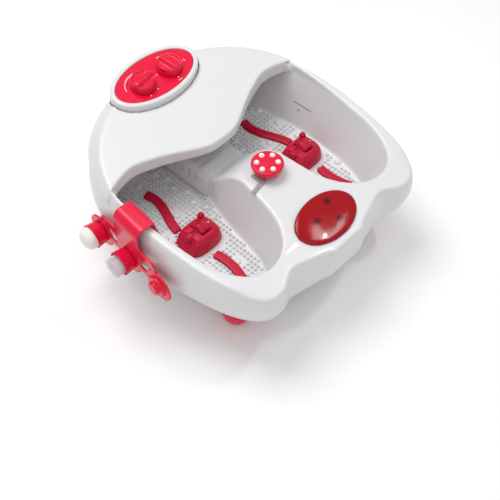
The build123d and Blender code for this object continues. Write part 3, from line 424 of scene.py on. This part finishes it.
def softened(node, voxel, passes, *joined, webs=False):
    """A copy of one or more CAD nodes as one even skin with rounded edges; voxel in millimetres."""
    coarse = 1.0
    work = bmesh.new()
    for part in (node, *joined):
        work.from_mesh(NODES[part].data)
    for side in (-1, 1) if webs else ():
        x, y, z = CORNER_AT
        corner = Matrix.Translation(Vector((side * x, y, z)) * MM) @ Matrix.Diagonal(CORNER_SHAPE)
        bmesh.ops.create_icosphere(work, subdivisions=3, radius=CORNER_R * MM, matrix=corner)
        work.from_mesh(side_web(side))
    mesh = NODES[node].data.copy()
    work.to_mesh(mesh)
    work.free()
    obj = piece(node + "_skin", mesh, BODY_OF[node], SLOT_OF[node], node, *joined)
    remesh = obj.modifiers.new("skin", "REMESH")
    remesh.mode = "VOXEL"
    remesh.voxel_size = voxel * MM * coarse
    smooth = obj.modifiers.new("round", "SMOOTH")
    smooth.factor = 0.5
    smooth.iterations = max(1, round(passes / coarse**2))
    return baked(obj)


softened("tub", 1.5, 24, "hood", "hood_seal", webs=True)
softened("base_shell", 1.6, 10)
softened("control_panel", 0.6, 5)
softened("head_clip", 0.4, 5)
for name in ("bubble_strip_left", "bubble_strip_right"):
    strip = softened(name, 0.7, 5)
    swell = strip.modifiers.new("swell", "DISPLACE")  # gives back what the smoothing took
    swell.mid_level = 0
    swell.strength = 1.3 * MM
    baked(strip)

# The holder's hook over the rim gets a rounded back and front.
HOOK_DEPTH, HOOK_OUTER_R, HOOK_INNER_R = 20 * MM, 13 * MM, 9 * MM
holder = softened("accessory_holder", 0.7, 6)
hook_top = max(v.co.z for v in holder.data.vertices)
hook_points = [v for v in holder.data.vertices if v.co.z > hook_top - HOOK_DEPTH]
reach = [v.co.dot(OUT) for v in hook_points]
for limit, sense, radius in ((max(reach), 1, HOOK_OUTER_R), (min(reach), -1, HOOK_INNER_R)):
    for v in hook_points:
        beyond = sense * (v.co.dot(OUT) - limit) + radius
        above = v.co.z - hook_top + radius
        if beyond > 0 and above > 0:
            shrink = max(beyond, above) / math.hypot(beyond, above)
            v.co += OUT * sense * beyond * (shrink - 1) + Z_AXIS * above * (shrink - 1)

# --- Bezel round the panel, with a skirt that closes the hood behind it ---------------------
PANEL_NORMAL = axis_of("temperature_turn")
PANEL_Y = PANEL_NORMAL.cross(X_AXIS)
PANEL_LEVEL = max(v.co.dot(PANEL_NORMAL) for v in NODES["control_panel"].data.vertices)
PANEL_A = (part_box("control_panel")[1][0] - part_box("control_panel")[0][0]) / 2 / MM
PANEL_B = PANEL_A - 29  # half the panel's height along its slope, from half its width
SKIRT = 14  # how much deeper the bezel reaches on the toe side, in millimetres
# how far each ring lies outside the panel's edge, its level, and whether it is lowered by the skirt
BEZEL_PROFILE = (
    (0.25, -2.2, 0), (0.25, 0.6, 0), (0.6, 1.3, 0), (1.4, 1.7, 0), (3.6, 1.8, 0), (5.2, 1.4, 0),
    (6.4, 0.4, 0), (6.95, -1.2, 0), (7, -3, 0), (7, -26, 0), (6.6, -27.6, 0), (5.8, -28.2, 0),
    (5.7, -29, 1), (3, -29, 1), (3, -2.9, 0),
)


def on_panel_level(point):
    """The point moved along the panel's normal onto its face."""
    return point + PANEL_NORMAL * (PANEL_LEVEL - point.dot(PANEL_NORMAL))


panel_middle = on_panel_level(centre_of("control_panel"))
bezel_rings = []
for grow_by, level, lowered in reversed(BEZEL_PROFILE):
    ring = []
    for a in angles(144):
        behind = min(1, max(0, math.sin(a) * 2.5 + 0.6))
        flat = X_AXIS * (PANEL_A + grow_by) * math.cos(a) + PANEL_Y * (PANEL_B + grow_by) * math.sin(a)
        ring.append(panel_middle + (flat + PANEL_NORMAL * (level - lowered * SKIRT * behind)) * MM)
    bezel_rings.append(ring)
bezel = from_rings("panel_collar", bezel_rings, loop=True)
piece("panel_collar", bezel, "basin", "white_shell", "panel_bezel")

# --- Knobs ----------------------------------------------------------------------------------
BAR_HALF, SCOOP_SIDE = 2.6, 4.2  # half the finger bar's width, and the width of its sloping side
SCOOP_DEPTH, SCOOP_R, SCOOP_END = 5.2, 15.8, 3.4  # the scoops fade out inside this radius


def eased(share):
    """Smooth step from 0 to 1."""
    share = min(1, max(0, share))
    return share * share * (3 - 2 * share)


def knob(node, body, joint, grip):
    """Round knob whose finger bar lies between two scoops; grip is the bar's direction in degrees."""
    axis, pivot = axis_of(joint), pivot_of(joint)
    reach = [(v.co - pivot).dot(axis) for v in NODES[node].data.vertices]
    foot, height = pivot + axis * min(reach), (max(reach) - min(reach)) / MM
    across = axis.cross(X_AXIS)
    profile = [(12, 0), (17.3, 0), (17.5, 0.8), (17.4, 2.4), (17, 6)]
    profile += [(16.4, height - 3.6), (15.6, height - 1.7), (14.4, height - 0.6)]
    profile += [(r, height) for r in (13, 11.5, 10, 8.5, 7, 5.5, 4, 2.5, 1.2, 0.2)]
    rings = []
    for radius, level in profile:
        ring = []
        for a in angles(120):
            spot = polar(radius, a - math.radians(grip))
            scoop = eased((abs(spot.y) - BAR_HALF) / SCOOP_SIDE)
            fade = eased((SCOOP_R - math.hypot(spot.y, spot.x * 0.9)) / SCOOP_END)
            drop = SCOOP_DEPTH * scoop * fade if level > height - 2 else 0
            flat = (X_AXIS * math.cos(a) + across * math.sin(a)) * radius
            ring.append(foot + (flat + axis * (level - drop)) * MM)
        rings.append(ring)
    piece(node + "_turned", from_rings(node, rings), body, "crimson_gloss", node)


knob("temperature_knob", "temperature_control", "temperature_turn", 8)
knob("mode_knob", "mode_control", "mode_turn", -84)

# --- Massage blocks round the rollers -------------------------------------------------------
# height over the floor, half-width and half-depth of each ring of a block
BLOCK_RINGS = (
    (0, 28.5, 22.6), (3, 28.5, 22.6), (7, 27.8, 22), (13, 26.5, 21), (18, 24, 18.8), (21.5, 19.5, 15),
    (23, 13, 10),
)
RAMP_FOOT, RAMP_NORMAL, UP_RAMP = (-28.5, 3.5), Vector((-0.80, 0, 0.60)), Vector((0.60, 0, 0.80))
DIMPLE_ROWS, DIMPLE_COLUMNS, ROW_PITCH, COLUMN_PITCH = 4, 6, 4.5, 6
DIMPLE = [(1.9, -2), (1.8, 0.2), (1.2, 0.9), (0.3, 1.2)]
CORNER_KNOB = [(5, -14), (5.2, -3), (4.2, 1), (2.6, 3.2), (0.6, 4.0)]
CORNER_KNOB_AT, CORNER_KNOB_AXIS = Vector((17.5, 13.5, 11)), (0.15, 0.1, 1)
CHEEK_BOSS = [(5.6, 12.6), (5.6, 19.6), (5.2, 20.6), (4.2, 21.3), (2.4, 21.7), (0.4, 21.8)]
ROLLER_BAY = [(4.2, -13.4), (4.2, -4.4), (12.4, -4.4), (12.4, 14.2)]


def rounded_ring(middle, z, half_x, half_y, power=3.0, count=72):
    """Level ring between an ellipse and a rectangle, sizes in millimetres."""
    ring = []
    for a in angles(count):
        x = half_x * math.copysign(abs(math.cos(a)) ** (2 / power), math.cos(a))
        y = half_y * math.copysign(abs(math.sin(a)) ** (2 / power), math.sin(a))
        ring.append(Vector((middle.x + x * MM, middle.y + y * MM, z * MM)))
    return ring


def massage_block(name, body):
    """Rounded block with a dimpled ramp on one side, a knob at a corner and a bay for the roller."""
    low, high = (Vector(v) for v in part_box(f"roller_cradle_{name}"))
    spindle = centre_of(f"foot_roller_{name}")
    middle = (low + high) / 2
    mesh = from_rings("block", [rounded_ring(middle, low.z / MM + h, hx, hy) for h, hx, hy in BLOCK_RINGS])
    work = bmesh.new()
    work.from_mesh(mesh)
    ramp_foot = Vector((middle.x + RAMP_FOOT[0] * MM, middle.y, low.z + RAMP_FOOT[1] * MM))
    cut = bmesh.ops.bisect_plane(
        work, geom=work.verts[:] + work.edges[:] + work.faces[:],
        plane_co=ramp_foot, plane_no=RAMP_NORMAL, clear_outer=True,
    )
    bmesh.ops.holes_fill(work, edges=[e for e in cut["geom_cut"] if isinstance(e, bmesh.types.BMEdge)])

    def grow(profile, place, axis, segments=20):
        work.from_mesh(lathe("part", profile, place, axis, segments))

    grow(CORNER_KNOB, middle + CORNER_KNOB_AT * MM, CORNER_KNOB_AXIS)
    grow(CHEEK_BOSS, spindle, (-1, 0, 0), 32)
    for row in range(DIMPLE_ROWS):
        for column in range(DIMPLE_COLUMNS):
            sideways = (column - (DIMPLE_COLUMNS - 1) / 2) * COLUMN_PITCH
            up = UP_RAMP * (3 + row * ROW_PITCH)
            grow(DIMPLE, ramp_foot + (up + Vector((0, sideways, 0))) * MM, RAMP_NORMAL, 12)
    work.to_mesh(mesh)
    work.free()
    obj = piece(f"massage_block_{name}", mesh, body, "crimson_satin", f"roller_cradle_{name}")
    cutter = bpy.data.objects.new("bay", lathe("bay", ROLLER_BAY, spindle, X_AXIS, 48))
    bpy.context.scene.collection.objects.link(cutter)
    skin = obj.modifiers.new("skin", "REMESH")
    skin.mode = "VOXEL"
    skin.voxel_size = 0.6 * MM
    bay = obj.modifiers.new("bay", "BOOLEAN")
    bay.operation = "DIFFERENCE"
    bay.object = cutter
    smooth = obj.modifiers.new("round", "SMOOTH")
    smooth.factor = 0.5
    smooth.iterations = 3
    baked(obj)
    bpy.data.objects.remove(cutter)


ROLLER_PROFILE = [
    (0.4, -13), (2.4, -12.8), (3.4, -12), (3.5, -4.6), (7.5, -4.2), (9.8, -3.2), (10.8, -1.4), (10.9, 1),
    (10.9, 3.5), (9.2, 4.4), (9.2, 5.2), (10.9, 6.1), (10.9, 9.5), (9.8, 11.8), (7.5, 12.8), (0.4, 12.9),
]
SIXTH = math.pi / 3
ROUND_PEG_R = 7  # rings smaller than this stay round
FLATNESS, CORNER_TRIM = 0.9, 1.06


def hexagonal_roller(name):
    """Roller with six rounded flats and a peg towards one cheek."""
    place = axis_frame(centre_of(f"foot_roller_{name}"), X_AXIS)
    rings = []
    for radius, level in ROLLER_PROFILE:
        blend = FLATNESS if radius > ROUND_PEG_R else 0
        ring = []
        for a in angles(96):
            flat = math.cos(SIXTH / 2) / math.cos((a + SIXTH / 2) % SIXTH - SIXTH / 2)
            reach = radius * (1 - blend + blend * min(1, flat * CORNER_TRIM))
            ring.append(place @ (polar(reach, a, level) * MM))
        rings.append(ring)
    mesh = from_rings(f"roller_{name}_hexagonal", rings)
    piece(f"roller_{name}_hexagonal", mesh, f"roller_{name}", "crimson_satin", f"foot_roller_{name}")


for name in ("left", "right"):
    massage_block(name, f"cradle_{name}")
    hexagonal_roller(name)

# --- Feet: glossy domes ---------------------------------------------------------------------
FOOT_R, FOOT_DOME, FOOT_FLAT = 20.05, 24, 8  # radius, height of the dome and radius it stands on
foot_low, foot_high = (Vector(v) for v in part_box("feet"))
foot_profile = [(FOOT_FLAT / 3, 0), (FOOT_FLAT * 2 / 3, 0)]
for t in np.linspace(0.06, math.pi / 2, 16):
    foot_profile.append((max(FOOT_FLAT, FOOT_R * math.sin(t) ** 0.62), FOOT_DOME * (1 - math.cos(t))))
foot_profile += [(FOOT_R, 40), (FOOT_R, 54)]
for x in (foot_low.x + FOOT_R * MM, foot_high.x - FOOT_R * MM):
    for y in (foot_low.y + FOOT_R * MM, foot_high.y - FOOT_R * MM):
        name = f"foot_{'heel' if y < 0 else 'toe'}_{'left' if x < 0 else 'right'}"
        piece(name, lathe(name, foot_profile, (x, y, 0), Z_AXIS), "basin", "crimson_gloss", "feet")

# --- Heads on the holder: a pad and a brush in flared cups ----------------------------------
CUP_LENGTH = 16
CUP_PROFILE = [(2, 0.1), (13.6, 0.1), *arc((14.0, 1.2), 1.0, -90, 0, 4), (15.9, 7), (16.5, 13.6)]
CUP_PROFILE += [*arc((16.2, 15.2), 0.75, -20, 180, 8), (15.4, 14.0), (15.3, 8.2), (14.8, 7.9), (2, 7.9)]
PAD_R, PAD_EDGE, PAD_CROWN = 14.9, 17.5, 11.5  # radius, level where the crown starts, and its height
PAD_PROFILE = [(PAD_R - 1.2, 9.0), (PAD_R, 10.0)]
for angle in np.linspace(0, 1, 22) * math.pi / 2:
    radius = max(PAD_R * math.cos(angle) ** 0.55, 0.4)
    PAD_PROFILE.append((radius, PAD_EDGE + PAD_CROWN * math.sin(angle) ** 0.9))

TUFT_RINGS, TUFT_PITCH, TUFT_FOOT = (1, 6, 12, 18, 24, 30, 36), 2.15, 8.5
FILAMENT_SIDES = 6


def cup_base(node):
    """Where a cup meets the holder's plate."""
    return centre_of(node) - OUT * CUP_LENGTH * MM / 2


def bristle_field():
    """Tapered filaments in rings, each leaning a little."""
    place = axis_frame(cup_base("brush_cup"), OUT)
    store = ([], [])
    for ring, count in enumerate(TUFT_RINGS):
        for turn in angles(count):
            foot = polar(ring * TUFT_PITCH, turn + math.pi / count * (ring % 2), TUFT_FOOT)
            lean = Vector((random.uniform(-0.5, 0.5), random.uniform(-0.5, 0.5), 0))
            tip = foot + lean + Z_AXIS * random.uniform(18.2, 19.6)
            add_solid(store, [
                [place @ ((point + polar(thick, a)) * MM) for a in angles(FILAMENT_SIDES)]
                for point, thick in ((foot, 0.55), (foot.lerp(tip, 0.6), 0.5), (tip, 0.26))
            ])
    return new_mesh("brush_filaments", store)


for head in ("cushion", "brush"):
    mesh = lathe(f"{head}_cup_flared", CUP_PROFILE, cup_base(f"{head}_cup"), OUT)
    piece(f"{head}_cup_flared", mesh, head, "crimson_gloss", f"{head}_cup")
pad = lathe("cushion_dome", PAD_PROFILE, cup_base("cushion_cup"), OUT, 72)
piece("cushion_dome", pad, "cushion", "terry_pad", "cushion_pad")
piece("brush_filaments", bristle_field(), "brush", "bristle", "brush_bristles")

# --- Ball head on the ridge -----------------------------------------------------------------
HEAD_PROFILE = [(3, 0), (17.0, 0), *arc((17.2, 1.2), 1.2, -90, -10, 5), (20.6, 8.4)]
HEAD_PROFILE += [*arc((18.4, 9.4), 2.6, -5, 90, 8), (9.2, 12.2), *arc((8.2, 12.2), 0.9, 0, 90, 5), (3, 13.3)]
head_foot = centre_of("ball_head")
head_foot.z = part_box("ball_head")[0][2]
puck = lathe("ball_head_puck", HEAD_PROFILE, head_foot, Z_AXIS, 96)
piece("ball_head_puck", puck, "head", "crimson_gloss", "ball_head")

# --- Infrared lens: elliptical dome with a rolled edge --------------------------------------
# each ring's size against the lens's edge, and its height over the seat in millimetres
LENS_RINGS = (
    (0.5, 0), (0.985, 0), (1, 0.9), (0.995, 2), (0.975, 2.9), (0.94, 3.5), (0.88, 3.9), (0.80, 4.15),
    (0.65, 4.4), (0.45, 4.6), (0.25, 4.7), (0.02, 4.75),
)
lens_rings = []
for scale, height in LENS_RINGS:
    middle = LENS_SEAT + LENS_NORMAL * height * MM
    lens_rings.append([
        middle + X_AXIS * LENS_A * scale * math.cos(a) + LENS_UP * LENS_B * scale * math.sin(a)
        for a in angles(96)
    ])
dome = from_rings("infrared_lens_dome", lens_rings)
piece("infrared_lens_dome", dome, "basin", "red_lens", "infrared_lens")

# --- Printed marks on the panel: plain dashes and dots, no lettering ------------------------
INK = 0.12 * MM  # thickness of the print
BAR_WIDTH, DOT_R = 0.8, 0.9
TICKS, TICK_START, TICK_SWEEP = 30, 160, 136  # a fan of lengthening ticks, in degrees
TICK_R, TICK_LENGTH, TICK_GROWTH, TICK_SLANT = 23.2, 0.8, 3.4, 4
DOT_RING_R, LABEL_R, MODE_START = 20.5, 25, 84


def on_panel(joint, radius, degrees):
    """Point on the panel at a radius in millimetres and an angle round a knob."""
    a = math.radians(degrees)
    return on_panel_level(pivot_of(joint)) + (X_AXIS * math.cos(a) + PANEL_Y * math.sin(a)) * radius * MM


def printed(store, outline):
    """Thin closed slab over an outline on the panel."""
    add_solid(store, [[point + PANEL_NORMAL * lift for point in outline] for lift in (0, INK)])


def bar(store, a, b):
    """A printed bar between two points."""
    across = PANEL_NORMAL.cross((b - a).normalized()) * BAR_WIDTH * MM / 2
    printed(store, (a - across, b - across, b + across, a + across))


def dot(store, at):
    """A printed round dot."""
    printed(store, [at + (X_AXIS * math.cos(a) + PANEL_Y * math.sin(a)) * DOT_R * MM for a in angles(16)])


marks = ([], [])
for k in range(TICKS):
    share = k / (TICKS - 1)
    degrees = TICK_START - TICK_SWEEP * share
    inner = on_panel("temperature_turn", TICK_R, degrees)
    outer_r = TICK_R + TICK_LENGTH + TICK_GROWTH * share
    bar(marks, inner, on_panel("temperature_turn", outer_r, degrees + TICK_SLANT))
for degrees in (-58, -102):
    dot(marks, on_panel("temperature_turn", DOT_RING_R, degrees))
for quarter, half in enumerate((X_AXIS * 3, PANEL_Y * 2) * 2):
    degrees = MODE_START - 90 * quarter
    dot(marks, on_panel("mode_turn", DOT_RING_R, degrees))
    label = on_panel("mode_turn", LABEL_R, degrees)
    bar(marks, label - half * MM, label + half * MM)
piece("panel_marks", new_mesh("panel_marks", marks, smooth=False), "basin", "pearl_ball", material=WHITE_INK)

# --- Fill-line marks on the outer wall of the right well ------------------------------------
FILL_LINES = ((36, 4, 110), (27, 22, 102))  # start and end along Y, and level, in millimetres
FILL_TALL, FILL_STEPS, WELL_X = 1.3, 8, 0.09
FILL_INTO, FILL_PROUD = 0.6 * MM, 0.5 * MM  # how far a mark goes into the wall and stands out of it
walls = tree_of("tub")
fill_marks = ([], [])
for y_start, y_end, z in FILL_LINES:
    rings = []
    for k in range(FILL_STEPS + 1):
        y = (y_start + (y_end - y_start) * k / FILL_STEPS) * MM
        low, high = (
            walls.ray_cast(Vector((WELL_X, y, level * MM)), X_AXIS)[0]
            for level in (z - FILL_TALL / 2, z + FILL_TALL / 2)
        )
        into, proud = X_AXIS * FILL_INTO, X_AXIS * FILL_PROUD
        rings.append([low + into, high + into, high - proud, low - proud])
    add_solid(fill_marks, rings)
piece("fill_marks", new_mesh("fill_marks", fill_marks, smooth=False), "basin", "grey_clip")

# --- Nubs over both well floors -------------------------------------------------------------
FLOOR_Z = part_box("roller_cradle_left")[0][2]
PITCH = 6.2 * MM
NUB_REACH = 3.2 * MM  # the floor has to be flat this far round a nub
ABOVE_FLOOR = 0.13
SMALL_NUB = ((2.1, -0.8), (2.0, 0.8), (1.7, 2.2), (1.1, 3.1), (0.35, 3.5))
LARGE_NUB = ((5.0, -0.8), (4.8, 0.8), (4.1, 2.0), (2.9, 2.8), (1.5, 3.2), (0.4, 3.3))
EVERY, STAGGER = 6, 3  # a large nub stands at every sixth place, in staggered rows
BESIDE = (0, 1, EVERY - 1)  # places taken up by a large nub
ROWS = range(-24, 25)


def nub_field(name, side):
    """Small cones in rows on the floor, with a broad dome every few rows."""
    solids = tree_of("tub", f"roller_cradle_{name}", f"bubble_strip_{name}", "vent_block")
    store = ([], [])

    def is_floor(x, y):
        hit = solids.ray_cast(Vector((x, y, ABOVE_FLOOR)), -Z_AXIS)[0]
        return hit is not None and abs(hit.z - FLOOR_Z) < 0.2 * MM

    def grow(x, y, profile, sides):
        foot = Vector((x, y, FLOOR_Z))
        add_solid(store, [[foot + polar(r, a, h) * MM for a in angles(sides)] for r, h in profile])

    for i in ROWS:
        for j in ROWS:
            x, y = side * WELL_X + i * PITCH, -0.01 + j * PITCH
            around = ((0, 0), (NUB_REACH, 0), (-NUB_REACH, 0), (0, NUB_REACH), (0, -NUB_REACH))
            if not all(is_floor(x + dx, y + dy) for dx, dy in around):
                continue
            if i % EVERY == 0 and (j + STAGGER * (i // EVERY % 2)) % EVERY == 0:
                grow(x, y, LARGE_NUB, 20)
            elif i % EVERY not in BESIDE or (j + STAGGER * (round(i / EVERY) % 2)) % EVERY not in BESIDE:
                grow(x, y, SMALL_NUB, 10)
    return new_mesh(f"floor_nubs_{name}", store)


for name, side in (("left", -1), ("right", 1)):
    piece(f"floor_nubs_{name}", nub_field(name, side), "basin", "white_shell")


# --- Floor, light and camera ----------------------------------------------------------------
def area_light(name, place, target, size, power, size_y=None):
    """Soft box aimed at a point; square unless it has a second size."""
    data = bpy.data.lights.new(name, "AREA")
    data.size = size
    data.energy = power
    if size_y:
        data.shape = "RECTANGLE"
        data.size_y = size_y
    lamp = bpy.data.objects.new(name, data)
    lamp.location = place
    lamp.rotation_euler = (Vector(target) - Vector(place)).to_track_quat("-Z", "Y").to_euler()
    bpy.context.scene.collection.objects.link(lamp)


bpy.ops.mesh.primitive_plane_add(size=12, location=(0, 0, -0.5 * MM))
ground = bpy.context.object
ground.name = "studio_floor"
ground.data.materials.append(moulded("studio_floor", (0.97, 0.97, 0.97), (0.7, 0.8), edge=0))

area_light("key_above", (-0.1, 0.6, 1.7), (0, 0, 0.1), 1.0, 17)
area_light("fill_front", (-0.9, -0.9, 1.3), (0, 0, 0.1), 1.4, 4.5)
area_light("streak", (0.52, -0.38, 1.2), (0, -0.15, 0.14), 0.14, 2, size_y=0.02)

world = bpy.data.worlds.new("studio")
world.use_nodes = True
set_inputs(world.node_tree.nodes["Background"], {"Color": (1, 1, 1, 1), "Strength": 0.5})
bpy.context.scene.world = world
bpy.context.scene.view_settings.view_transform = "Standard"

AZIMUTH, ELEVATION, ROLL = (math.radians(a) for a in (-45.38, 52.336, -1.23))
back = Vector((
    math.sin(AZIMUTH) * math.cos(ELEVATION), -math.cos(AZIMUTH) * math.cos(ELEVATION), math.sin(ELEVATION),
))
aim = (-back).to_track_quat("-Z", "Y").to_matrix()
camera = bpy.data.cameras.new("camera")
camera.lens = 67.9
camera.clip_start = 0.05
viewer = bpy.data.objects.new("camera", camera)
viewer.location = (-0.5892, -0.5997, 1.0294)
viewer.rotation_euler = (aim @ Matrix.Rotation(ROLL, 3, "Z")).to_euler()
bpy.context.scene.collection.objects.link(viewer)
bpy.context.scene.camera = viewer
